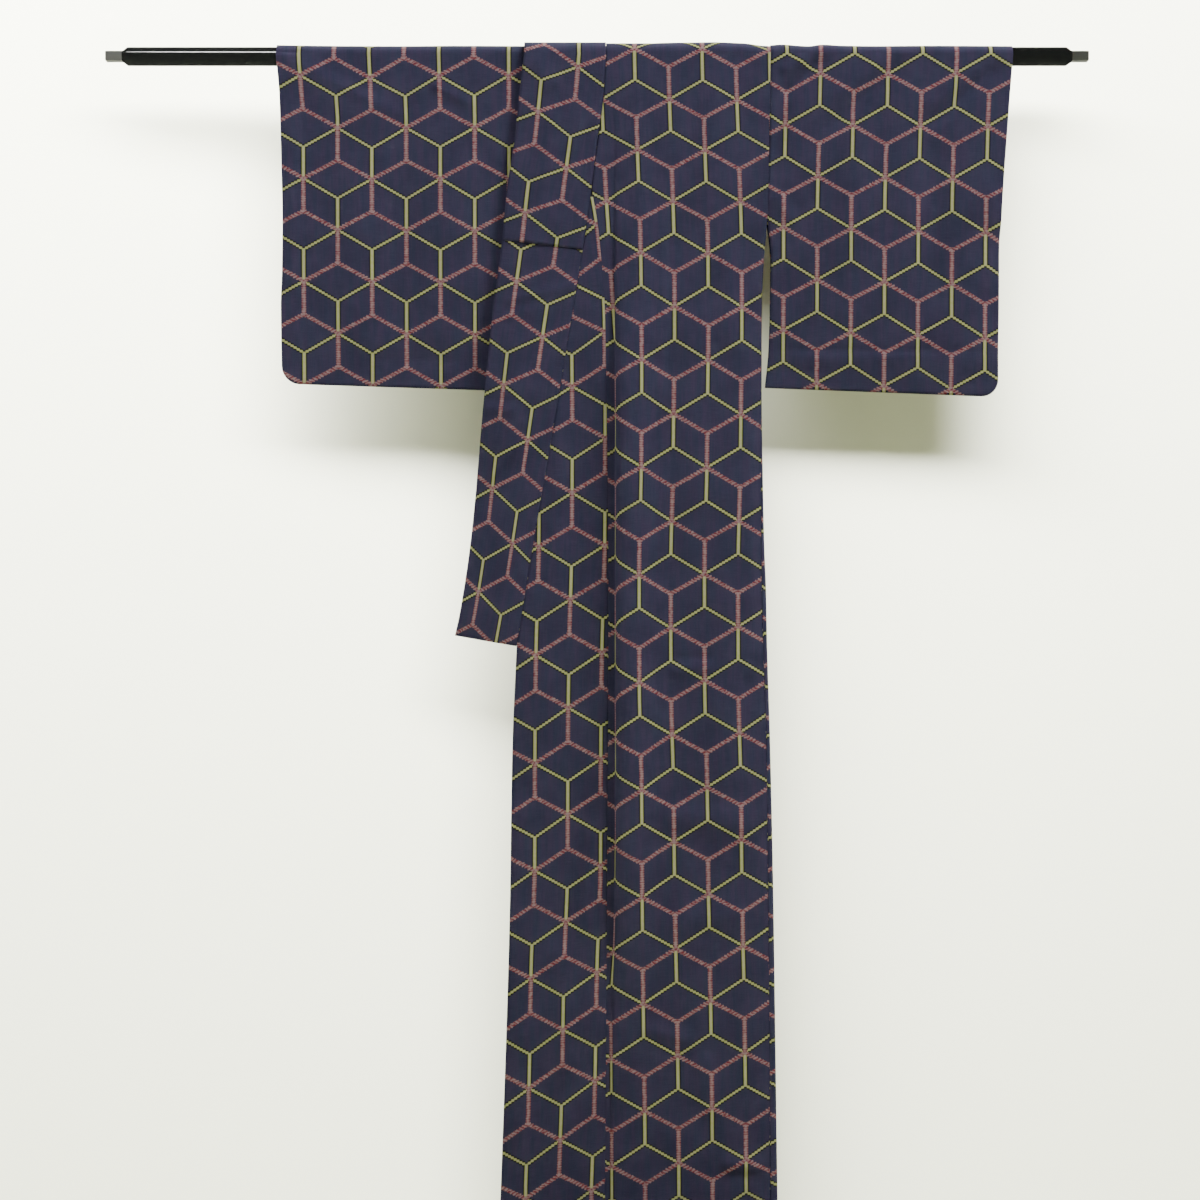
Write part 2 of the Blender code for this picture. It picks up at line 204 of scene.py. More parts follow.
# The lattice's cell in centimetres, the shares of a row where pink uprights end and yellow ones start,
# and the steps of its threads in millimetres
COLUMN = 9.65
ROW = 7.5
PINK_ENDS = 0.635
YELLOW_STARTS = 0.385
THREAD_STEP = 4.2
ROPE_PITCH = 5.2
BEAD_PITCH = 3.4
OUT_OF_THE_WAY = 50


def new_group(name, inputs, outputs):
    """A node group with named sockets, as (tree, its input sockets as values, its output sockets)."""
    tree = bpy.data.node_groups.new(name, "ShaderNodeTree")
    for label, kind in inputs.items():
        tree.interface.new_socket(label, in_out="INPUT", socket_type=kind)
    for label, kind in outputs.items():
        tree.interface.new_socket(label, in_out="OUTPUT", socket_type=kind)
    entry = tree.nodes.new("NodeGroupInput")
    leave = tree.nodes.new("NodeGroupOutput")
    values = {label: Value(tree, entry.outputs[label]) for label in inputs}
    return tree, values, leave.inputs


def use_group(tree, group):
    node = tree.nodes.new("ShaderNodeGroup")
    node.node_tree = group
    return node


def scaled(tree, vector, scale):
    node = tree.nodes.new("ShaderNodeVectorMath")
    node.operation = "MULTIPLY"
    node.inputs[1].default_value = scale
    tree.links.new(vector.socket, node.inputs[0])
    return node.outputs[0]


def make_lattice():
    """Masks and tones of the lattice. Weave is (columns, rows), whole numbers where the lines cross."""
    tree, inputs, outputs = new_group(
        "tumbling_block_lattice",
        {"Weave": "NodeSocketVector"},
        {"Pink": "NodeSocketFloat", "Yellow": "NodeSocketFloat", "Outline": "NodeSocketFloat",
         "Pink Tone": "NodeSocketFloat", "Yellow Tone": "NodeSocketFloat"},
    )
    parts = tree.nodes.new("ShaderNodeSeparateXYZ")
    tree.links.new(inputs["Weave"].socket, parts.inputs[0])
    across = Value(tree, parts.outputs[0])
    down = Value(tree, parts.outputs[1])
    row = down.calc("FLOOR")
    b = down - row
    odd = row.calc("FLOORED_MODULO", 2.0)
    shifted = across - odd * 0.5
    signed = shifted - shifted.calc("ROUND")
    s = abs(signed)
    column = COLUMN * 10
    height = ROW * 10

    # The diagonals climb in small steps, as the pattern thread floats over whole warp threads
    step = THREAD_STEP / column
    stepped = (s * (1 / step)).calc("FLOOR") * step + step / 2
    jagged = s * 0.2 + stepped * 0.8
    pink_slope = (1 - PINK_ENDS) * 2
    yellow_slope = YELLOW_STARTS * 2
    pink_lean = math.cos(math.atan(pink_slope * height / column))
    yellow_lean = math.cos(math.atan(yellow_slope * height / column))
    blotch = noise(tree, scaled(tree, inputs["Weave"], (19, 15, 1)), 1.0, 1.0)
    pink_upright = s * column + (b.calc("GREATER_THAN", PINK_ENDS) * OUT_OF_THE_WAY)
    pink_offset = (b - PINK_ENDS - s * pink_slope) * (height * pink_lean)
    pink_diagonal = abs(b - PINK_ENDS - jagged * pink_slope) * (height * pink_lean)
    pink_after = (b + s * pink_slope) * (height * pink_lean)
    strand = s * (column / pink_lean / ROPE_PITCH) + pink_offset * 0.24 + blotch * 1.1
    rope = (strand * (2 * math.pi)).calc("SINE")
    pink_diagonal = pink_diagonal.calc("MINIMUM", pink_after) + rope * 0.35
    yellow_upright = (s * -1 + 0.5) * column + (b.calc("LESS_THAN", YELLOW_STARTS) * OUT_OF_THE_WAY)
    yellow_diagonal = abs(b - jagged * yellow_slope) * (height * yellow_lean)
    beads = (b * (height / BEAD_PITCH) * (2 * math.pi)).calc("SINE")
    pink = (pink_upright - 0.4 + beads * 0.35).calc("MINIMUM", pink_diagonal)
    yellow = (yellow_upright - 0.75).calc("MINIMUM", yellow_diagonal)

    # The pink diagonals are ropes of two tones, and the pink uprights are paler down the middle
    edge = pink_upright.falls(1.0, 2.7) * -1 + 1
    on_upright = pink_upright.calc("LESS_THAN", pink_diagonal)
    uneven = (blotch - 0.5) * 1.6
    rope_tone = rope * 0.38 + 0.5 + uneven
    upright_tone = edge * 0.45 + beads * 0.22 + 0.22 + uneven
    tone = on_upright * upright_tone + (on_upright * -1 + 1) * rope_tone
    tone = tone.calc("MINIMUM", 1.0).calc("MAXIMUM", 0.0)
    khaki = (yellow.falls(0.2, 1.5) * 0.9 + uneven * 0.9).calc("MINIMUM", 1.0).calc("MAXIMUM", 0.0)
    for label, value in (
        ("Pink", pink.falls(2.2, 3.25)),
        ("Yellow", yellow.falls(1.2, 2.0)),
        ("Outline", (pink + 0.9).calc("MINIMUM", yellow + 0.2).falls(2.9, 4.3)),
        ("Pink Tone", tone),
        ("Yellow Tone", khaki),
    ):
        tree.links.new(value.socket, outputs[label])
    return tree


def make_wool():
    """Threads of the ground: broad faint bands and finer streaks along the length, threads across, and soft
    patches of painted sheen and shade.
    """
    tree, inputs, outputs = new_group(
        "wool_threads",
        {"Weave": "NodeSocketVector"},
        {"Bands": "NodeSocketFloat", "Painted Sheen And Shade": "NodeSocketFloat", "Streaks": "NodeSocketFloat",
         "Threads": "NodeSocketFloat", "Fuzz": "NodeSocketFloat"},
    )
    for label, scale, detail in (
        ("Bands", (11, 0.9, 1), 2.0),
        # Soft paler and darker patches at random places: painted sheen and shade, in place of light on the
        # cloth's soft folds
        ("Painted Sheen And Shade", (1.7, 1.3, 1), 2.0),
        ("Streaks", (41, 2.2, 1), 3.0),
        ("Threads", (5, 75, 1), 2.0),
        ("Fuzz", (90, 70, 1), 3.0),
    ):
        value = noise(tree, scaled(tree, inputs["Weave"], scale), 1.0, detail, 0.6)
        tree.links.new(value.socket, outputs[label])
    return tree


def make_cloth_material():
    made, tree, shader = new_material("kimono_cloth")
    weave = tree.nodes.new("ShaderNodeUVMap")
    weave.uv_map = "weave"
    lattice = use_group(tree, make_lattice())
    wool = use_group(tree, make_wool())
    for group in (lattice, wool):
        tree.links.new(weave.outputs["UV"], group.inputs["Weave"])
    given = {socket.name: Value(tree, socket) for node in (lattice, wool) for socket in node.outputs}
    shade = given["Streaks"] * 0.15 + given["Threads"] * 0.2 + given["Fuzz"] * 0.3
    # The ground's tone also takes in the soft patches of painted sheen and shade.
    shade = shade + given["Bands"] * 0.1 + given["Painted Sheen And Shade"] * 0.25
    hue = (given["Bands"] * 0.8 + given["Streaks"] * 0.2).falls(0.36, 0.64)
    pale = mix_colour(tree, hue, (0.0350, 0.0285, 0.0615), (0.0300, 0.0315, 0.0635))
    deep = mix_colour(tree, hue, (0.0225, 0.0185, 0.0415), (0.0190, 0.0202, 0.0430))
    ground = mix_colour(tree, shade.falls(0.38, 0.62), pale, deep)
    lined = mix_colour(tree, given["Outline"] * 0.85, ground, (0.008, 0.007, 0.007))
    yellow = mix_colour(tree, given["Yellow Tone"], (0.235, 0.258, 0.067), (0.275, 0.264, 0.156))
    lined = mix_colour(tree, given["Yellow"], lined, yellow)
    pink = mix_colour(tree, given["Pink Tone"], (0.215, 0.140, 0.146), (0.115, 0.022, 0.034))
    lined = mix_colour(tree, given["Pink"], lined, pink)
    tree.links.new(lined, shader.inputs["Base Color"])
    shader.inputs["Roughness"].default_value = 0.92
    shader.inputs["Specular IOR Level"].default_value = 0.1
    raised = given["Pink"] * 0.6 + given["Yellow"] * 0.5 + given["Fuzz"] * 0.5 + given["Streaks"] * 0.3
    tree.links.new(bump(tree, raised, 0.0003, 0.6), shader.inputs["Normal"])
    return made


cloth_material = make_cloth_material()

CLOTH = 0.6 * MM
LOWEST_RADIUS = 14.3 * MM

# The layers lie one PITCH apart, numbered outwards from the rod
PITCH = 1.35 * MM
RIGHT_SHOULDER = 0
OVER_COLLAR_RIGHT = 1
RIGHT_FRONT = 2
LEFT_FRONT = 3
OVER_COLLAR_LEFT = 4

# Drops below the rod and places across are in centimetres, depths and heights in millimetres
HEM = 166.5
GAP = 0.03
NECK_LINE_X = 1.3
NECK_CUT_TOP = 1.0
NECK_CUT_DROP = 3.6
CENTRE_BACK_TOP_X = -7.7
RIGHT_FOLD_X = 7.6
SHIFTED_BY = 15
SIDE_BAND = 5


def table(columns, *rows):
    """Named columns, each an array, from rows in the order of the first column."""
    return dict(zip(columns.split(), np.array(rows, float).T))


def at(columns, name, where, key="drop"):
    """A smooth curve through a column of a table, with no overshoot between its rows."""
    x = columns[key]
    y = columns[name]
    step = np.diff(x)
    slope = np.diff(y) / step
    tangent = np.concatenate([slope[:1], np.zeros(len(x) - 2), slope[-1:]])
    both = slope[:-1] + slope[1:]
    same = slope[:-1] * slope[1:] > 0
    tangent[1:-1][same] = 2 * slope[:-1][same] * slope[1:][same] / both[same]
    where = np.clip(np.asarray(where, float), x[0], x[-1])
    k = np.clip(np.searchsorted(x, where, side="right") - 1, 0, len(step) - 1)
    t = (where - x[k]) / step[k]
    rise = step[k] * ((t**3 - 2 * t**2 + t) * tangent[k] + (t**3 - t**2) * tangent[k + 1])
    return (2 * t**3 - 3 * t**2 + 1) * y[k] + (3 * t**2 - 2 * t**3) * y[k + 1] + rise


def blend(a, b, share):
    return a + (b - a) * share


def ease(share):
    share = np.clip(share, 0.0, 1.0)
    return share * share * (3 - 2 * share)


# The wide collar's free edge and its seam to the front, and how far it bows out between them
COLLAR = table(
    "drop free seam bow",
    (0, -10.4, 1.3, 0),
    (6, -11.1, 0.9, 0),
    (12, -11.7, 0.1, 0),
    (19.2, -12.8, -0.8, 0.5),
    (27, -13.6, -1.9, 1.0),
    (38, -15.0, -3.7, 1.5),
    (53, -16.5, -6.2, 1.5),
    (68, -17.9, -8.8, 2.0),
    (79, -19.5, -10.6, 2.5),
    (84.5, -20.7, -11.5, 3.0),
)
OKUMI_SEAM = table(
    "drop x",
    (19.2, -0.8),
    (23, -0.1),
    (27, 0.4),
    (38, 1.15),
    (79, 1.6),
    (120, 1.4),
    (HEM, 1.1),
)
CENTRE_BACK = table("drop x", (3.6, -7.7), (25, -6.6), (60, -5.4), (HEM, -5.3))
RIGHT_SIDE = table("drop x", (0, -10.4), (23, -10.4), (33, -10.1), (45, -9.9), (HEM, -9.6))
BODY_DEPTH = table("drop depth", (0, 14.3), (12, 13.5), (23, 12.6), (45, 11.2), (100, 9.2), (HEM, 8.0))
SIDE_DEPTH = table(
    "drop open sewn",
    (0, 14.3, 14.3),
    (10, 12.8, 12.8),
    (20, 11.2, 11.2),
    (23, 10.6, 10.6),
    (28, 6.0, 6.0),
    (33, 2.4, 1.6),
    (45, 1.6, 0.8),
    (HEM, 1.6, 0.8),
)


def body_depth(drop, level):
    return at(BODY_DEPTH, "depth", drop) * MM + level * PITCH


def right_shift(drop):
    """How far the right front's edges lie to the side of the left one's, so that neither shows."""
    return np.minimum(drop / SHIFTED_BY, 1)


def front_edge(drop):
    """Where a front's cloth begins: at the collar's seam, and below the tip at the okumi's."""
    return np.where(drop < OKUMI_SEAM["drop"][0], at(COLLAR, "seam", drop), at(OKUMI_SEAM, "x", drop))


def neck_drop(x):
    share = (NECK_LINE_X - x) / (NECK_LINE_X - CENTRE_BACK_TOP_X)
    return blend(NECK_CUT_TOP, NECK_CUT_DROP, np.minimum(share, 1.0))


def back_of_neck(share, drop):
    """(x, drop) on the back between the centre back, share 0, and the neck line, share 1."""
    x_top = blend(CENTRE_BACK_TOP_X, NECK_LINE_X, share)
    top = neck_drop(x_top)
    lowered = top + (drop - NECK_CUT_TOP) / (HEM - NECK_CUT_TOP) * (HEM - top)
    return blend(at(CENTRE_BACK, "x", lowered), NECK_LINE_X, share), lowered


def shell(name, points, weave, keep=None, flip=False):
    """A thin cloth: a grid of points with its weave coordinates, without the faces that keep leaves out."""
    rows, columns = points.shape[:2]
    index = np.arange(rows * columns).reshape(rows, columns)
    quads = np.stack([index[:-1, :-1], index[:-1, 1:], index[1:, 1:], index[1:, :-1]], axis=-1)
    quads = quads[keep] if keep is not None else quads.reshape(-1, 4)
    if flip:
        quads = quads[:, ::-1]
    used, quads = np.unique(quads, return_inverse=True)
    quads = quads.reshape(-1, 4)
    mesh = bpy.data.meshes.new(name)
    mesh.from_pydata(points.reshape(-1, 3)[used].tolist(), [], quads.tolist())
    layer = mesh.uv_layers.new(name="weave")
    corners = np.zeros(len(mesh.loops), np.int32)
    mesh.loops.foreach_get("vertex_index", corners)
    layer.data.foreach_set("uv", weave.reshape(-1, 2)[used][corners].astype(np.float32).ravel())
    mesh.shade_smooth()
    made = add_object(name, mesh, cloth_material)
    wall = made.modifiers.new("wall", "SOLIDIFY")
    wall.thickness = CLOTH
    wall.offset = 0
    wall.use_even_offset = True
    return made


def point_grid(x, y, z):
    return np.stack(np.broadcast_arrays(x, y, z), axis=-1)


def run_length(points):
    """How far each point lies along its row of the cloth, in centimetres."""
    steps = np.linalg.norm(np.diff(points, axis=1), axis=2) / CM
    return np.concatenate([np.zeros((len(points), 1)), np.cumsum(steps, axis=1)], axis=1)


def finish_cloth(piece, node):
    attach(piece, "root")
    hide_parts(node)
    garment.append(piece)


# A length's rows run up the front, over the rod by angle, and down the back
FRONT_ROWS = np.linspace(0, HEM, 334)[::-1]
ARC_ROWS = np.linspace(0, math.pi, 26)[1:-1]
BACK_ROWS = np.concatenate([[0], np.linspace(NECK_CUT_TOP, HEM, 95)])


def make_body_right():
    """From the neck to a fold at RIGHT_FOLD_X and back to the right side, front and back in one."""
    inner = np.linspace(0, 1, 20)
    turn = np.radians([22, 45, 68, 90, 112, 135, 158])
    outer = np.linspace(0, 1, 34)
    neck = np.linspace(0, 1, 15)[:-1]
    middle = (RIGHT_FRONT + RIGHT_SHOULDER) / 2
    turn_radius = (RIGHT_FRONT - middle) * PITCH
    grids = []
    for part, values in (("front", FRONT_ROWS), ("rod", ARC_ROWS), ("back", BACK_ROWS)):
        drop = (values if part != "rod" else np.zeros(len(values)))[:, None]
        begins = np.full_like(drop, NECK_LINE_X)
        if part == "front":
            begins = front_edge(drop) + right_shift(drop) + GAP
        x = np.concatenate([
            blend(begins, RIGHT_FOLD_X, inner),
            RIGHT_FOLD_X + turn_radius * np.sin(turn) / CM + 0 * drop,
            blend(RIGHT_FOLD_X, at(RIGHT_SIDE, "x", drop), outer),
        ], axis=1)
        level = np.concatenate([
            np.full(len(inner), RIGHT_FRONT),
            middle + (RIGHT_FRONT - middle) * np.cos(turn),
            np.full(len(outer), RIGHT_SHOULDER),
        ])
        lowered_x, lowered = back_of_neck(neck, np.maximum(drop, NECK_CUT_TOP))
        if part == "rod":
            radius = LOWEST_RADIUS + level * PITCH
            angle = values[:, None]
            main = point_grid(x * CM, -radius * np.cos(angle), radius * np.sin(angle))
            beside = point_grid(lowered_x * CM, radius[0] + 0 * lowered, -lowered * CM)
        else:
            side = -1 if part == "front" else 1
            depth = body_depth(drop, level)
            taper = ease(1 - (x - at(RIGHT_SIDE, "x", drop)) / SIDE_BAND)
            folded = (np.arange(x.shape[1]) >= len(inner) + len(turn)) * taper
            depth = blend(depth, at(SIDE_DEPTH, "sewn", drop) * MM, folded)
            main = point_grid(x * CM, side * depth, -drop * CM)
            beside = point_grid(lowered_x * CM, side * body_depth(lowered, RIGHT_FRONT), -lowered * CM)
        grids.append(np.concatenate([beside, main], axis=1))
    points = np.concatenate(grids)
    keep = np.ones((len(points) - 1, points.shape[1] - 1), bool)
    back_from = len(FRONT_ROWS) + len(ARC_ROWS) + int(np.argmax(BACK_ROWS >= NECK_CUT_TOP))
    keep[:back_from, : len(neck)] = False
    over_rod = LOWEST_RADIUS / CM
    run = np.concatenate([FRONT_ROWS, -ARC_ROWS * over_rod, -BACK_ROWS - math.pi * over_rod])
    rows = np.broadcast_to(-run[:, None] / ROW, points.shape[:2])
    return shell("right_body", points, np.stack([-run_length(points) / COLUMN, rows], axis=-1), keep)


garment = []
finish_cloth(make_body_right(), "body_right")

# The wearer's left body length, front and back in one cloth over the rod, with the neck cut.
# It is the panel that shows, in the same cloth. Its spare width stands up in a long fold by the okumi,
# its shoulder lies slack over the rod, and below the armhole its back wraps round to the side seam.

LEFT_SIDE = table(
    "drop front back",
    (0, 24.8, 24.8),
    (23, 24.35, 24.35),
    (33, 23.65, 23.75),
    (45, 23.5, 23.55),
    (52, 23.5, 23.6),
    (61, 23.5, 23.74),
    (70, 23.52, 23.92),
    (76, 23.58, 24.15),
    (84, 23.76, 24.3),
    (97, 24.2, 24.7),
    (121, 24.5, 25.2),
    (143, 24.7, 25.5),
    (HEM, 24.8, 25.8),
)
SHOULDER_SLACK = table("x rise", (8, 0), (13, 2.0), (18, 4.5), (21, 4.0), (23.5, 0.8), (24.8, 0))
FOLD_FOOT = table("drop x", (0, 2.5), (40, 2.6), (100, 2.62), (125, 2.5), (136, 2.15), (HEM, 1.9))
FOLD_CREST = 2.1
FOLD_PULLED_IN = 0.75
SINKS_FROM = 9
SUNK_BY = 22
BACK_DRIFT = 0.2
DRIFT_FROM = 25
DRIFT_OVER = 40
LEFT_ROW = 7.66
FINE_TO = 0.15
SIDE_FROM = 0.97
WRAP_FROM = 33
WRAPPED_BY = 45
BEHIND_SIDE = -1.6

# The long fold: its section outwards from the foot, and its height down the length
SEAM_FOLD = table(
    "x share",
    (-0.12, 0),
    (0, 0.18),
    (0.1, 0.42),
    (0.25, 0.6),
    (0.5, 0.75),
    (0.9, 0.87),
    (1.5, 0.96),
    (2.1, 1.0),
    (3.2, 0.93),
    (4.6, 0.6),
    (6.2, 0.2),
    (7.8, 0),
)
SEAM_FOLD_HEIGHT = table(
    "drop height",
    (0, 0),
    (8, 0.8),
    (20, 3),
    (30, 6.5),
    (38, 10),
    (44, 13),
    (52, 16),
    (70, 17),
    (100, 16.5),
    (116, 14),
    (127, 10),
    (136, 4.5),
    (HEM, 3),
)

# Where the pattern's rows and its columns fall, and how its rows tilt
LEFT_ROWS = table("run row", (-180, -24.9), (-0.7, 0), (21, 3), (28.4, 4), (166.75, 22.08))
LEFT_TILT = table("drop slope", (0, 0), (60, 0), (90, 0.025), (HEM, 0.045))
LEFT_COLUMN = table(
    "drop x",
    (-180, 5.35),
    (-0.7, 5.35),
    (13.6, 5.75),
    (28.2, 6.22),
    (43, 6.35),
    (58.5, 6.28),
    (74.1, 5.98),
    (89.5, 6.0),
    (104.8, 6.33),
    (120.1, 6.42),
    (135.6, 6.6),
    (150.9, 6.8),
    (HEM, 6.9),
)

# Each crease: x and drop of both ends, half its width in centimetres, and its height
SEAM_RISE = (2.6, 38.0, 2.6, 122.0, 3.6, 7.0)
LEFT_CREASES = (
    SEAM_RISE,
    (10.0, 86.3, 16.8, 85.9, 0.5, -1.7),
    (10.4, 88.0, 16.6, 87.6, 0.9, 2.9),
    (21.0, 86.2, 23.4, 86.2, 0.5, -1.4),
    (21.0, 88.0, 23.4, 88.0, 0.8, 2.0),
    (17.6, 160.2, 23.6, 160.6, 0.8, -1.4),
    (17.6, 158.4, 23.6, 158.9, 1.2, 3.8),
    (13.4, 34.0, 12.6, 66.0, 4.2, 4.6),
    (18.6, 27.0, 18.8, 42.0, 1.4, 3.2),
    (22.3, 50.0, 22.5, 84.0, 1.2, 1.6),
    (9.0, 108.8, 22.0, 109.8, 2.0, 4.3),
    (10.0, 124.4, 21.0, 122.6, 2.0, 4.1),
    (15.8, 126.0, 10.8, 139.0, 1.5, 3.2),
    (6.8, 139.2, 13.6, 140.8, 1.2, 3.8),
    (15.4, 143.0, 16.6, 152.0, 1.5, 3.5),
    (9.4, 24.0, 9.0, 50.0, 0.8, 1.7),
    (17.5, 90.0, 18.5, 106.0, 2.6, 2.9),
    (5.6, 3.0, 6.4, 26.0, 1.6, 2.3),
    (17.0, 4.0, 15.8, 24.0, 2.0, 2.6),
)


def straight(columns, name, where, key="drop"):
    return np.interp(where, columns[key], columns[name])


def creased(x, drop, creases):
    """Millimetres proud at each point, from soft straight ridges and troughs that die away at their ends."""
    total = np.zeros(np.broadcast(x, drop).shape)
    for x1, drop1, x2, drop2, width, height in creases:
        length = math.hypot(x2 - x1, drop2 - drop1)
        along = ((x - x1) * (x2 - x1) + (drop - drop1) * (drop2 - drop1)) / length**2
        away = ((x - x1) * (drop2 - drop1) - (drop - drop1) * (x2 - x1)) / length
        ends = ease(along * 4 + 0.4) * ease((1 - along) * 4 + 0.4)
        total = total + height * np.exp(-((away / width) ** 2)) * ends
    return total


def make_body_left():
    fine = np.linspace(0, FINE_TO, 50)
    main = np.concatenate([fine, np.linspace(FINE_TO, SIDE_FROM, 50)[1:]])
    side = np.array([0, 0.5, 0.92, 1.0])
    neck = np.linspace(0, 1, 15)[:-1]
    shares = np.concatenate([main, blend(SIDE_FROM, 1, np.maximum(side, 0.15))])

    def level_at(x):
        return blend(LEFT_FRONT, RIGHT_SHOULDER, ease((x - SINKS_FROM) / (SUNK_BY - SINKS_FROM)))

    grids = []
    pulled_in = []
    for part, values in (("front", FRONT_ROWS), ("rod", ARC_ROWS), ("back", BACK_ROWS)):
        drop = (values if part != "rod" else np.zeros(len(values)))[:, None]
        front_x = at(LEFT_SIDE, "front", drop)
        back_x = at(LEFT_SIDE, "back", drop)
        begins = front_edge(drop) + GAP if part == "front" else np.full_like(drop, NECK_LINE_X)
        x = blend(begins, front_x if part != "back" else back_x, shares)
        ends = x[:, -1:]
        lowered_x, lowered = back_of_neck(neck, np.maximum(drop, NECK_CUT_TOP))
        if part == "rod":
            angle = values[:, None]
            rise = at(SHOULDER_SLACK, "rise", x, "x") * MM * np.sin(angle)
            radius = LOWEST_RADIUS + level_at(x) * PITCH + rise
            sheet = point_grid(x * CM, -radius * np.cos(angle), radius * np.sin(angle))
            beside = point_grid(lowered_x * CM, radius[0, 0] + 0 * lowered, -lowered * CM)
        else:
            depth = body_depth(drop, level_at(x))
            taper = np.clip(1 - (ends - x) / SIDE_BAND, 0, 1) ** 2
            edge = at(SIDE_DEPTH, "open" if part == "front" else "sewn", drop) * MM
            depth = blend(depth, edge, taper)
            if part == "front":
                foot = at(FOLD_FOOT, "x", drop)
                height = at(SEAM_FOLD_HEIGHT, "height", drop)
                fold = at(SEAM_FOLD, "share", x - foot, "x") * height
                crest = at(SEAM_FOLD, "share", np.minimum(x - foot, FOLD_CREST), "x") * height
                pulled_in.append(depth + (fold + crest * FOLD_PULLED_IN) * MM)
                proud = fold + creased(x, drop, LEFT_CREASES) * ease((ends - x) / 2)
                depth = depth + proud * MM
                sheet = point_grid(x * CM, -depth, -drop * CM)
            else:
                wrap = ease((drop - WRAP_FROM) / (WRAPPED_BY - WRAP_FROM))
                wrap = wrap * (np.arange(x.shape[1]) >= len(main))
                round_the_side = np.concatenate([np.zeros(len(main)), side])
                x = blend(x, blend(back_x, front_x + 2 * GAP, round_the_side), wrap)
                depth = blend(depth, blend(0.0, BEHIND_SIDE * MM, round_the_side), wrap)
                sheet = point_grid(x * CM, depth, -drop * CM)
            beside = point_grid(lowered_x * CM, body_depth(lowered, LEFT_FRONT), -lowered * CM)
        grids.append(np.concatenate([beside, sheet], axis=1))
    points = np.concatenate(grids)
    keep = np.ones((len(points) - 1, points.shape[1] - 1), bool)
    back_from = len(FRONT_ROWS) + len(ARC_ROWS) + int(np.argmax(BACK_ROWS >= NECK_CUT_TOP))
    keep[:back_from, : len(neck)] = False
    arc = ARC_ROWS * (LOWEST_RADIUS + LEFT_FRONT * PITCH) / CM
    run = np.concatenate([FRONT_ROWS, -arc, -BACK_ROWS - arc[-1]])

    # More width is drawn into the fold than its height takes up, so its pattern is measured on a higher one
    measured = points.copy()
    measured[: len(FRONT_ROWS), len(neck):, 1] = -pulled_in[0]
    length = run_length(measured)
    reference = at(LEFT_COLUMN, "x", run)
    zero = [
        np.interp(line, row[len(neck):, 0] / CM, far[len(neck):])
        for line, row, far in zip(reference, points, length)
    ]
    columns = (length - np.array(zero)[:, None]) / COLUMN
    columns = columns + BACK_DRIFT * ease((-run - DRIFT_FROM) / DRIFT_OVER)[:, None]
    rows = straight(LEFT_ROWS, "row", run, "run")[:, None]
    rows = rows + columns * (at(LEFT_TILT, "slope", run) * COLUMN / LEFT_ROW)[:, None]
    return shell("left_body", points, np.stack([-columns, -rows], axis=-1), keep)


finish_cloth(make_body_left(), "body_left")

# The two okumi, the overlap panels that run from a tip at the collar's seam down to the hem.
# Each is one piece of the cloth, sewn to its front. The right one lies hidden behind the left.

OKUMI_EDGE = table(
    "drop x",
    (84.5, -11.47),
    (100, -12.1),
    (120, -12.4),
    (135, -12.8),
    (150, -13.3),
    (HEM, -13.9),
)
OKUMI_COLUMN = table(
    "drop x",
    (19.2, -0.95),
    (23, -0.25),
    (27, 0.27),
    (38, 1.05),
    (54.6, 1.17),
    (69.8, 1.1),
    (85.4, 0.7),
    (100.4, 0.54),
    (115.7, 0.5),
    (131, -0.02),
    (146.6, -0.29),
    (161.6, -0.79),
)
OKUMI_ROWS = table(
    "drop row",
    (20, -4.56),
    (36, -2.48),
    (54.6, -0.03),
    (63.5, 1.13),
    (78, 3.04),
    (90, 4.6),
    (106, 6.72),
    (140, 11.165),
    (158, 13.46),
    (HEM, 14.56),
)
OKUMI_TILT = table(
    "drop slope",
    (20, 0.13),
    (40, 0.1),
    (52, 0.02),
    (70, 0.017),
    (100, 0.07),
    (130, 0.09),
    (162, 0.13),
)
OKUMI_TIP = 20.4
OKUMI_PATTERN = (9.4, 7.69)
COLLAR_ENDS = 84.5
BESIDE_COLLAR = (-5.6, 48.0, -6.0, 80.0, 1.3, 2.8)
OKUMI_CREASES = (
    SEAM_RISE,
    BESIDE_COLLAR,
    (-2.2, 110.0, -9.8, 126.0, 1.4, -0.7),
    (-0.6, 110.0, -2.0, 127.0, 1.1, 3.4),
    (-11.4, 106.0, -11.8, 126.0, 1.0, 2.3),
    (-5.2, 127.0, -4.4, 146.0, 1.8, 3.1),
    (-10.4, 138.0, -10.9, 158.0, 1.3, 2.3),
    (-7.6, 86.0, -8.6, 104.0, 1.8, 2.1),
    (-4.2, 150.0, -6.8, 163.0, 1.2, 2.1),
)


def make_okumi(name, level, shift, creases):
    column, row = OKUMI_PATTERN
    drop = np.linspace(OKUMI_TIP, HEM, 240)[:, None]
    across = np.concatenate([np.linspace(0, 0.94, 28), [0.965, 0.985, 1.0]])
    left = np.where(drop < COLLAR_ENDS, at(COLLAR, "seam", drop) + GAP, at(OKUMI_EDGE, "x", drop))
    x = blend(left, at(OKUMI_SEAM, "x", drop), across) + shift(drop)
    depth = body_depth(drop, level) + creased(x, drop, creases) * MM
    points = point_grid(x * CM, -depth, -drop * CM)[::-1]
    columns = (x - at(OKUMI_COLUMN, "x", drop)) / column
    rows = straight(OKUMI_ROWS, "row", drop) + at(OKUMI_TILT, "slope", drop) * columns * column / row
    return shell(name, points, np.stack([columns, rows], axis=-1)[::-1])


left_okumi = make_okumi("left_okumi", LEFT_FRONT, lambda drop: 0 * drop, OKUMI_CREASES)
finish_cloth(left_okumi, "okumi_left")
right_okumi = make_okumi("right_okumi", RIGHT_FRONT, right_shift, ())
finish_cloth(right_okumi, "okumi_right")

# The sleeves, each one length of the same cloth, folded at the shoulder line over the rod.
# Each is sewn to its body length above, along its bottom and up to the open cuff, with a round corner.

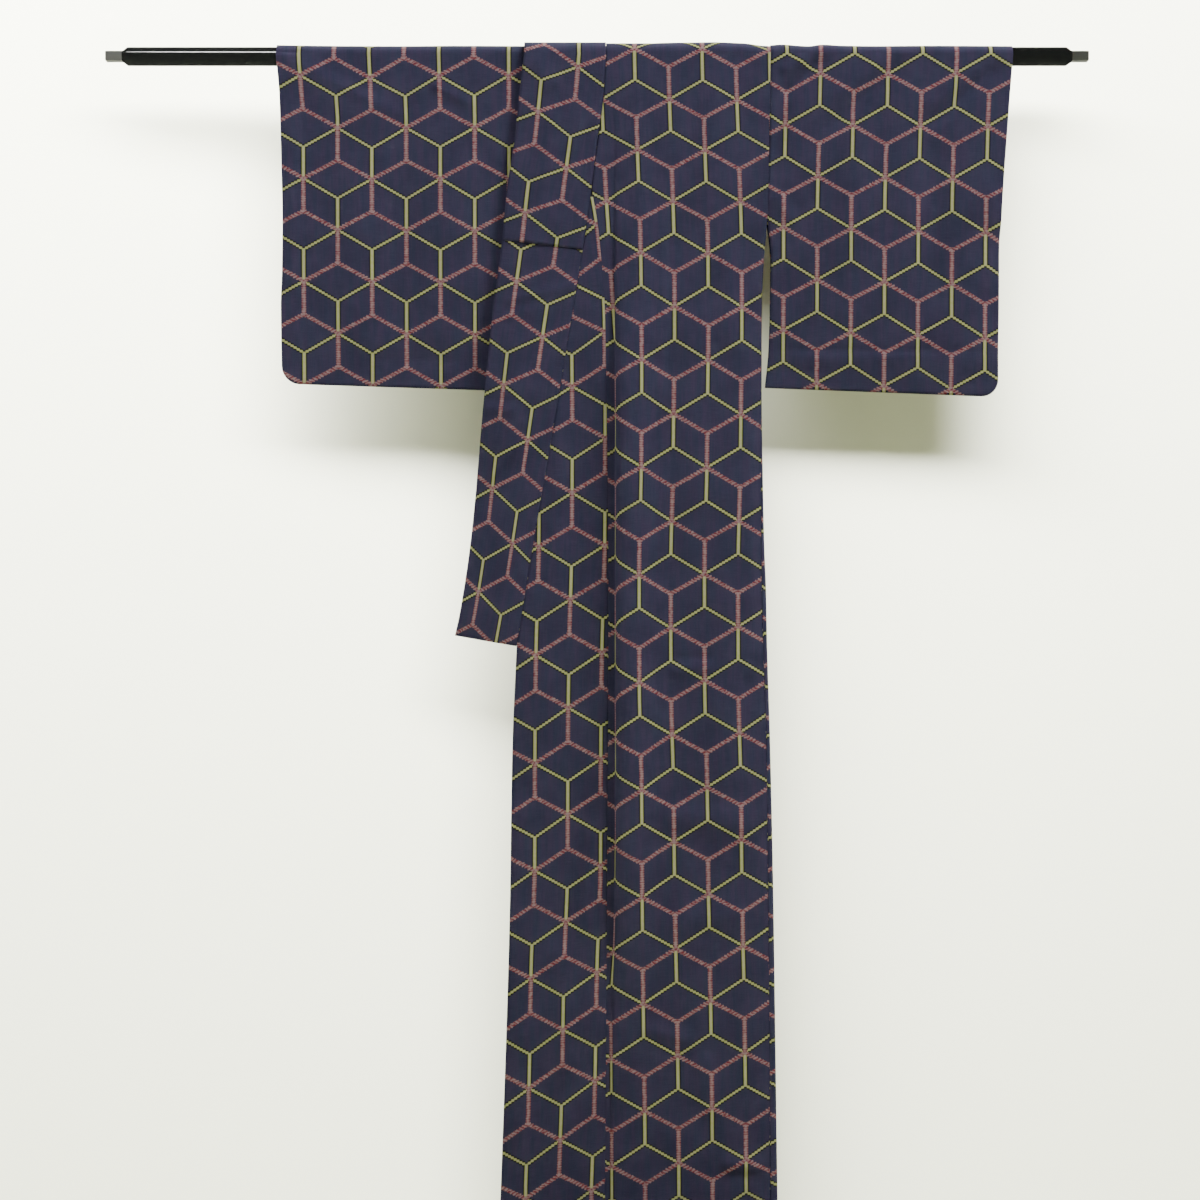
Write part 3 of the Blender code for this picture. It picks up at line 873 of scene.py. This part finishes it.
SLEEVE_LEFT = table(
    "drop inner outer",
    (0, 24.83, 59.4),
    (12, 24.6, 58.5),
    (23, 24.38, 57.8),
    (29, 24.9, 57.6),
    (36, 24.8, 57.6),
    (42, 24.6, 57.5),
    (48, 24.0, 57.5),
)
SLEEVE_RIGHT = table(
    "drop inner outer",
    (0, -10.43, -45.8),
    (6, -10.43, -45.3),
    (17, -10.43, -45.0),
    (23, -10.43, -44.9),
    (31, -10.6, -45.0),
    (36, -10.6, -45.2),
    (48, -10.9, -45.1),
)
SLEEVE_DEPTH = table(
    "share depth",
    (0, 14.3),
    (0.2, 12.8),
    (0.42, 11.2),
    (0.6, 9.0),
    (0.75, 6.4),
    (0.88, 3.4),
    (0.96, 1.4),
    (1, 0.65),
)
SLEEVE_LEFT_CREASES = (
    (57.6, 1.4, 47.0, 10.4, 1.1, -4.6),
    (54.6, 1.0, 46.0, 8.2, 1.2, 2.3),
    (43.8, 0.8, 33.4, 10.6, 1.2, -4.9),
    (40.6, 0.6, 34.0, 6.4, 1.2, 2.9),
    (32.4, 0.2, 27.0, 5.6, 0.9, -5.2),
    (27.4, 4.6, 25.0, 14.6, 0.9, -4.3),
    (30.0, 0.4, 26.4, 2.6, 0.8, 3.5),
    (25.4, 20.0, 28.4, 24.4, 0.9, 2.6),
    (25.0, 42.0, 57.2, 42.3, 0.4, -1.4),
    (27.0, 43.7, 44.0, 43.4, 0.9, 1.1),
    (41.0, 43.5, 57.0, 44.0, 1.1, 0.8),
    (24.6, 45.2, 34.6, 45.4, 0.4, -1.2),
    (56.4, 18.0, 56.2, 34.0, 1.2, 2.9),
    (37.0, 14.0, 36.0, 40.0, 2.6, 3.2),
    (47.5, 12.0, 48.8, 38.0, 2.2, -2.6),
)
SLEEVE_RIGHT_CREASES = (
    (-46.0, -0.4, -28.0, 8.8, 0.9, 2.8),
    (-45.6, 1.4, -29.6, 10.2, 2.2, 2.4),
    (-23.6, 4.2, -17.8, 7.2, 0.8, 3.5),
    (-42.2, 2.0, -42.0, 46.0, 0.3, -1.4),
    (-43.6, 6.0, -43.4, 42.0, 1.0, 1.4),
    (-34.0, 12.0, -35.2, 42.0, 2.8, 2.9),
    (-21.5, 9.0, -22.6, 42.0, 2.4, 2.6),
    (-27.8, 14.0, -28.8, 40.0, 1.8, -2.6),
    (-34.0, 43.2, -18.0, 43.8, 0.8, -1.3),
)
SLEEVE_SLACK = table(
    "x rise",
    (-46, 1.6),
    (-42, 0.9),
    (-36, 0.2),
    (-28, 0.0),
    (-20, 0.5),
    (-10.4, 0.2),
    (24.6, 1.2),
    (26.4, 2.4),
    (29.0, 0.5),
    (30.4, 0.0),
    (32.2, 2.2),
    (35.0, 0.8),
    (40.0, 0.1),
    (48.0, 0.6),
    (60.0, 0.0),
)
SAG = table("x sag", (-46, 0.2), (-39.6, 0.25), (-32.5, 0.5), (-24, 0.2), (-10.4, 0.15), (24, 0.0), (60, 0.0))
CORNER = 2.5
SLEEVE_SEWN_TO = 23
CUFF_OPEN_TO = 23
CUFF_SEAM_FROM = 0.88
CURL_FROM = 0.86
CURL_FULL = 3.0
SEWN_DEPTH = 0.65
SEWN_OVER = 4
SAG_TO = 30
FLARE_TO = 9
CLEAR_OF_ROD = 13.8


def make_sleeve(name, outline, creases, bottoms, pattern, tilt, flare, curl, turned):
    """Bottoms are the drops at the armhole and the cuff; pattern is (column, its start, row, its start)."""
    column, column_zero, row, row_zero = pattern
    width = abs(outline["outer"][0] - outline["inner"][0])
    corner_from = 1 - CORNER / width
    corner = corner_from + (1 - corner_from) * np.sin(np.linspace(0, math.pi / 2, 9))
    across = np.concatenate([np.linspace(0, corner_from, 76)[:-1], corner])
    shares = np.linspace(0, 1, 112)
    into = np.maximum(across - corner_from, 0) / (1 - corner_from)
    bottom = blend(*bottoms, across) - CORNER * (1 - np.sqrt(1 - into * into))
    grids = []
    for part, values in (("front", shares[::-1]), ("rod", ARC_ROWS), ("back", shares)):
        drop = (values if part != "rod" else 0 * values)[:, None] * bottom
        x = blend(at(outline, "inner", drop), at(outline, "outer", drop), across)
        if part == "rod":
            angle = values[:, None]
            radius = LOWEST_RADIUS + at(SLEEVE_SLACK, "rise", x, "x") * MM * np.sin(angle)
            grids.append(point_grid(x * CM, -radius * np.cos(angle), radius * np.sin(angle)))
            continue
        depth = at(SLEEVE_DEPTH, "depth", values[:, None], "share")
        closed = ease((across - CUFF_SEAM_FROM) / (1 - CUFF_SEAM_FROM))
        closed = closed * ease((drop - CUFF_OPEN_TO) / SEWN_OVER)
        sewn_at = blend(SEWN_DEPTH, depth, curl / CURL_FULL)
        if part == "front":
            forward = curl * ease((across - CURL_FROM) / (1 - CURL_FROM))
            depth = blend(depth, sewn_at, closed) + forward
            depth = depth + creased(x, drop, creases) * ease((1 - values[:, None]) * 12)
            over_rod = np.sqrt(np.maximum(CLEAR_OF_ROD**2 - (drop * CM / MM) ** 2, 0))
            depth = np.maximum(depth, np.maximum(over_rod, SEWN_DEPTH))
        else:
            depth = blend(depth, 2 * SEWN_DEPTH - sewn_at - curl, closed)
        grids.append(point_grid(x * CM, (-1 if part == "front" else 1) * depth * MM, -drop * CM))
    points = np.concatenate(grids)
    arc = np.broadcast_to((ARC_ROWS * LOWEST_RADIUS / CM)[:, None], (len(ARC_ROWS), len(across)))
    run = np.concatenate([shares[::-1, None] * bottom, -arc, -shares[:, None] * bottom - arc[-1]])
    sign = 1 if outline["outer"][0] > 0 else -1
    drops = -points[:, :, 2] / CM
    seam = at(outline, "inner", np.minimum(drops, SLEEVE_SEWN_TO))
    stretch = 1 + flare * np.clip(1 - drops / FLARE_TO, 0, 1)
    columns = (sign * (points[:, :, 0] / CM - seam) / stretch - column_zero) / column
    sag = at(SAG, "sag", points[:, :, 0] / CM, "x") * ease(1 - drops / SAG_TO)
    rows = (run * (1 - tilt * across) - row_zero - sag) / row
    way = -1 if turned else 1
    return shell(name, points, way * np.stack([columns, rows], axis=-1), flip=sign < 0)


left_sleeve = make_sleeve(
    "left_sleeve", SLEEVE_LEFT, SLEEVE_LEFT_CREASES, bottoms=(47.5, 48.8),
    pattern=(9.63, 7.1, 7.3, 2.68), tilt=0.0314, flare=0.007, curl=0.0, turned=True,
)
finish_cloth(left_sleeve, "sleeve_left")
right_sleeve = make_sleeve(
    "right_sleeve", SLEEVE_RIGHT, SLEEVE_RIGHT_CREASES, bottoms=(48.0, 46.9),
    pattern=(9.787, 31.5, 7.43, 2.9), tilt=-0.01, flare=0.02, curl=CURL_FULL, turned=False,
)
finish_cloth(right_sleeve, "sleeve_right")

# The collar and the shorter over-collar that lies on it round the neck.
# Each is one strip of the cloth, up the left front, over the rod, round behind the neck
# and down the right front. The over-collar ends in a seam across the strip.

COLLAR_WIDTH = 11.7
COLLAR_TOP_X = -10.4
COLLAR_NODE_AT = 0.33
COLLAR_COLUMN = 0.85
OVER_NECK_SEAM = 0.35
PRESSED_END = 0.6
PRESSED_FROM = 0.96

# How far the free edge leans back, in millimetres
COLLAR_LEAN = table("drop back", (0, 0), (48, 0), (62, 10), (84.5, 12))
COLLAR_CREASES = (
    BESIDE_COLLAR,
    (-13.4, 35.3, -2.4, 32.9, 0.5, 2.3),
    (-14.0, 37.6, -8.6, 36.4, 0.5, 1.3),
    (-16.6, 49.2, -11.3, 49.7, 0.4, -1.0),
    (-16.6, 50.6, -11.3, 51.0, 0.7, 2.1),
    (-15.2, 60.8, -11.2, 55.6, 0.6, 3.1),
    (-16.6, 64.0, -18.0, 82.0, 1.2, 2.6),
    (-11.0, 40.0, -13.0, 58.0, 1.4, 2.1),
)
OVER_COLLAR_CREASES = (
    (-9.0, 0.6, -6.5, 5.0, 1.4, 3.4),
    (-6.4, 8.0, -8.4, 24.0, 1.6, 2.3),
    (-11.4, 26.4, -7.4, 27.0, 0.8, 2.1),
    (-2.6, 8.0, -3.6, 20.0, 1.0, 1.6),
)


def make_collar(name, creases, ends, levels, row, row_at, row_zero, tilt):
    """Ends are the drops at the seam and the free edge; levels are the layers in front and behind."""
    outer_level, inner_level = levels
    across = np.linspace(0, 1, 30)
    shares = np.linspace(0, 1, int(ends[0] / 0.5))
    turn = np.linspace(0, math.pi, 12)
    short = np.linspace(0, 1, 5)
    middle = (outer_level + inner_level) / 2
    reach = (outer_level - middle) * PITCH
    x_top = blend(NECK_LINE_X - GAP, COLLAR_TOP_X, across)
    turn_drop = neck_drop(x_top) - OVER_NECK_SEAM

    def front(values, level):
        drop = values[:, None] * blend(*ends, across)
        x = blend(at(COLLAR, "seam", drop), at(COLLAR, "free", drop), across)
        proud = -at(COLLAR_LEAN, "back", drop) * across**1.5
        if level == inner_level:
            x = x + right_shift(drop)
        else:
            proud = proud + at(COLLAR, "bow", drop) * np.sin(math.pi * across) + creased(x, drop, creases)
            proud = proud - PRESSED_END * ease((values[:, None] - PRESSED_FROM) / (1 - PRESSED_FROM))
        return point_grid(x * CM, -(body_depth(drop, level) + proud * MM), -drop * CM)

    def over(angles, level):
        radius = LOWEST_RADIUS + level * PITCH
        angle = angles[:, None]
        return point_grid(x_top * CM, -radius * np.cos(angle), radius * np.sin(angle))

    def behind(values, level):
        drop = values[:, None] * turn_drop
        return point_grid(x_top * CM, body_depth(turn_drop, level) + 0 * drop, -drop * CM)

    angle = turn[:, None]
    turned = point_grid(
        x_top * CM,
        body_depth(turn_drop, middle) + reach * np.cos(angle),
        -turn_drop * CM - reach * np.sin(angle),
    )
    points = np.concatenate([
        front(shares[::-1], outer_level),
        over(ARC_ROWS, outer_level),
        behind(short, outer_level)[:-1],
        turned,
        behind(short[::-1], inner_level)[1:],
        over(ARC_ROWS[::-1], inner_level),
        front(shares, inner_level),
    ])
    steps = np.linalg.norm(np.diff(points, axis=0), axis=2).mean(axis=1) / CM
    run = np.concatenate([[0], np.cumsum(steps)])
    run = (run[len(shares) - 1] - run)[:, None] + 0 * across
    run[: len(shares)] = -points[: len(shares), :, 2] / CM
    columns = (COLLAR_NODE_AT - across) / COLLAR_COLUMN + 0 * run
    rows = (run + tilt * across * COLLAR_WIDTH - row_at) / row + row_zero
    return shell(name, points, np.stack([columns, rows], axis=-1), flip=True)


collar = make_collar(
    "wide_collar", COLLAR_CREASES, ends=(COLLAR_ENDS, 83.0), levels=(LEFT_FRONT, RIGHT_FRONT),
    row=7.37, row_at=33.38, row_zero=1.0, tilt=0.10,
)
finish_cloth(collar, "collar")
over_collar = make_collar(
    "over_collar_strip", OVER_COLLAR_CREASES, ends=(28.0, 26.6), levels=(OVER_COLLAR_LEFT, OVER_COLLAR_RIGHT),
    row=7.2, row_at=2.55, row_zero=0.0, tilt=0.16,
)
finish_cloth(over_collar, "over_collar")

# The stage: a pale wall close behind, a pale floor, and the photo's camera.
# The cloth is lit from the right, above and in front, with a weaker light from the left. The rod and
# the wall each have a light of their own, as the photo's wall is far brighter than its cloth.

FLOOR_Z = -1.69
WALL_Y = 0.1
STAGE_REACH = 4
WALL_TOP = 2.5
CAMERA_PLACE = (0.0043, -3.192, -0.779)
CAMERA_LENS = 66.8


def make_wall_material():
    made, tree, shader = new_material("pale_wall")
    shader.inputs["Base Color"].default_value = (0.86, 0.875, 0.70, 1)
    shader.inputs["Roughness"].default_value = 0.95
    geometry = tree.nodes.new("ShaderNodeNewGeometry")
    clear = tree.nodes.new("ShaderNodeBsdfTransparent")
    mix = tree.nodes.new("ShaderNodeMixShader")
    tree.links.new(geometry.outputs["Backfacing"], mix.inputs[0])
    tree.links.new(shader.outputs[0], mix.inputs[1])
    tree.links.new(clear.outputs[0], mix.inputs[2])
    tree.links.new(mix.outputs[0], tree.nodes["Material Output"].inputs["Surface"])
    return made


wall_material = make_wall_material()


def make_plane(name, corners):
    mesh = bpy.data.meshes.new(name)
    mesh.from_pydata(corners, [], [tuple(range(len(corners)))])
    return add_object(name, mesh, wall_material)


foot = [(-STAGE_REACH, WALL_Y, FLOOR_Z), (STAGE_REACH, WALL_Y, FLOOR_Z)]
front = [(-STAGE_REACH, -STAGE_REACH, FLOOR_Z), (STAGE_REACH, -STAGE_REACH, FLOOR_Z)]
top = [(STAGE_REACH, WALL_Y, WALL_TOP), (-STAGE_REACH, WALL_Y, WALL_TOP)]
floor = make_plane("floor", front + foot[::-1])
wall = make_plane("wall", foot + top)

# The bright wall and floor stay out of the lacquer's gloss, which is dark in the photo
for surface in (floor, wall):
    surface.visible_glossy = False


def add_light(name, place, aim, size, power, only=()):
    """A soft oval light. Where only is given, it lights nothing but those objects."""
    light = bpy.data.lights.new(name, "AREA")
    light.shape = "ELLIPSE"
    light.size, light.size_y = size
    light.energy = power
    made = bpy.data.objects.new(name, light)
    bpy.context.scene.collection.objects.link(made)
    made.location = place
    made.rotation_euler = (Vector(aim) - Vector(place)).to_track_quat("-Z", "Y").to_euler()
    if only:
        lit = bpy.data.collections.new(name + "_lights")
        for target in only:
            lit.objects.link(target)
        made.light_linking.receiver_collection = lit
    return made


add_light("key", (3.2, -1.7, 2.4), (0.0, 0.0, -0.7), (1.3, 0.9), 332, only=garment)
add_light("fill", (-2.2, -1.5, 1.1), (-0.3, 0.0, -0.3), (1.0, 0.7), 68, only=garment)
add_light("rod_gleam", (-1.0, -1.1, 1.1), (-0.6, 0.0, 0.0), (0.7, 0.1), 18, only=(rod,))
add_light("wall_wash", (-0.45, -1.6, 1.45), (0.0, WALL_Y, -0.8), (6.4, 0.9), 1230, only=(wall,))
world = bpy.data.worlds.new("studio")
bpy.context.scene.world = world
world.use_nodes = True
world.node_tree.nodes["Background"].inputs["Color"].default_value = (1.0, 1.0, 0.97, 1)
world.node_tree.nodes["Background"].inputs["Strength"].default_value = 0.12

camera = bpy.data.objects.new("camera", bpy.data.cameras.new("camera"))
bpy.context.scene.collection.objects.link(camera)
camera.location = CAMERA_PLACE
camera.rotation_euler = (math.pi / 2, 0, 0)
camera.data.lens = CAMERA_LENS
camera.data.sensor_width = 36
bpy.context.scene.camera = camera
